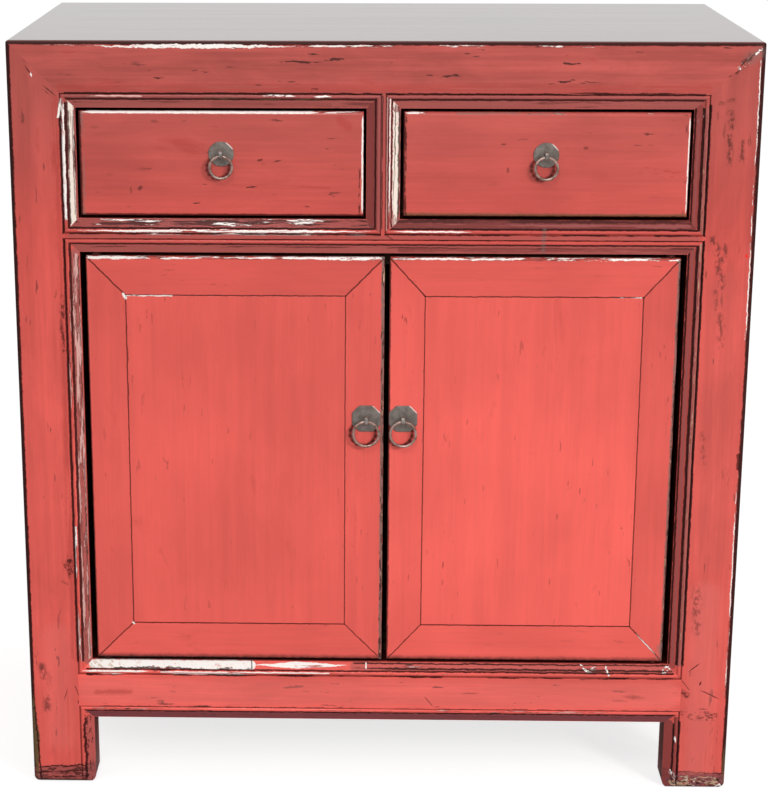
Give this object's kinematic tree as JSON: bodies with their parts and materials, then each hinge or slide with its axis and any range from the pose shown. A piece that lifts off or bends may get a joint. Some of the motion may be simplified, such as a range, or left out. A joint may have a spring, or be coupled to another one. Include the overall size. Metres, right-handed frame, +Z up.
{
  "type": "kang cabinet",
  "caption": "Low red-lacquered kang cabinet on block feet, with beaded and mitred frames, ring-pull drawers above and framed doors on wooden pivots below.",
  "frame": {"origin": "on the floor under the middle of the whole, ring pulls included", "axes": "+Z up; the front with drawers and doors faces -Y; +X to the right of someone facing it"},
  "size_m": [0.84, 0.449, 0.9],
  "materials": {
    "red_lacquer": "worn coral-red lacquer, satin",
    "bare_wood": "bare aged wood, matt",
    "plate_metal": "tarnished, satin",
    "ring_metal": "dark, rubbed bright where it is handled"
  },
  "bodies": {
    "case": {"back_panel_lower": "bare_wood", "back_panel_upper": "bare_wood", "bottom_board": "bare_wood", "bottom_rail_back": "bare_wood", "bottom_rail_front": "red_lacquer", "bottom_rail_left": "red_lacquer", "bottom_rail_right": "red_lacquer", "door_stop": "bare_wood", "drawer_divider": "red_lacquer", "middle_rail_back": "bare_wood", "middle_rail_front": "red_lacquer", "post_back_left": "red_lacquer", "post_back_right": "red_lacquer", "post_front_left": "red_lacquer", "post_front_right": "red_lacquer", "runner_centre": "bare_wood", "runner_left": "bare_wood", "runner_right": "bare_wood", "side_panel_left": "red_lacquer", "side_panel_right": "red_lacquer", "top_battens": "bare_wood", "top_panel": "red_lacquer", "top_rail_back": "red_lacquer", "top_rail_front": "red_lacquer", "top_rail_left": "red_lacquer", "top_rail_right": "red_lacquer"},
    "drawer_left": {"drawer_left_back": "bare_wood", "drawer_left_floor": "bare_wood", "drawer_left_front": "red_lacquer", "drawer_left_pin": "ring_metal", "drawer_left_plate": "plate_metal", "drawer_left_side_inner": "bare_wood", "drawer_left_side_outer": "bare_wood"},
    "drawer_right": {"drawer_right_back": "bare_wood", "drawer_right_floor": "bare_wood", "drawer_right_front": "red_lacquer", "drawer_right_pin": "ring_metal", "drawer_right_plate": "plate_metal", "drawer_right_side_inner": "bare_wood", "drawer_right_side_outer": "bare_wood"},
    "door_left": {"door_left_batten": "bare_wood", "door_left_bottom_rail": "red_lacquer", "door_left_hinge_stile": "red_lacquer", "door_left_meeting_stile": "red_lacquer", "door_left_panel": "red_lacquer", "door_left_pin": "ring_metal", "door_left_plate": "plate_metal", "door_left_top_rail": "red_lacquer"},
    "door_right": {"door_right_batten": "bare_wood", "door_right_bottom_rail": "red_lacquer", "door_right_hinge_stile": "red_lacquer", "door_right_meeting_stile": "red_lacquer", "door_right_panel": "red_lacquer", "door_right_pin": "ring_metal", "door_right_plate": "plate_metal", "door_right_top_rail": "red_lacquer"},
    "drawer_left_pull": {"drawer_left_ring": "ring_metal"},
    "drawer_right_pull": {"drawer_right_ring": "ring_metal"},
    "door_left_pull": {"door_left_ring": "ring_metal"},
    "door_right_pull": {"door_right_ring": "ring_metal"}
  },
  "joints": [
    {"name": "drawer_left_slide", "type": "slide", "parent": "case", "child": "drawer_left", "axis": [0, -1, 0], "range_m": [0, 0.3]},
    {"name": "drawer_right_slide", "type": "slide", "parent": "case", "child": "drawer_right", "axis": [0, -1, 0], "range_m": [0, 0.3]},
    {"name": "door_left_hinge", "type": "hinge", "parent": "case", "child": "door_left", "pos_m": [-0.327, -0.2015, 0.41], "axis": [0, 0, -1], "range_deg": [0, 110]},
    {"name": "door_right_hinge", "type": "hinge", "parent": "case", "child": "door_right", "pos_m": [0.327, -0.2015, 0.41], "axis": [0, 0, 1], "range_deg": [0, 110]},
    {"name": "drawer_left_ring_swing", "type": "hinge", "parent": "drawer_left", "child": "drawer_left_pull", "pos_m": [-0.182, -0.2213, 0.77225], "axis": [-1, 0, 0], "range_deg": [-8, 160]},
    {"name": "drawer_right_ring_swing", "type": "hinge", "parent": "drawer_right", "child": "drawer_right_pull", "pos_m": [0.182, -0.2213, 0.77225], "axis": [-1, 0, 0], "range_deg": [-8, 160]},
    {"name": "door_left_ring_swing", "type": "hinge", "parent": "door_left", "child": "door_left_pull", "pos_m": [-0.0174, -0.2213, 0.464], "axis": [-1, 0, 0], "range_deg": [-8, 160]},
    {"name": "door_right_ring_swing", "type": "hinge", "parent": "door_right", "child": "door_right_pull", "pos_m": [0.0254, -0.2213, 0.464], "axis": [-1, 0, 0], "range_deg": [-8, 160]}
  ]
}
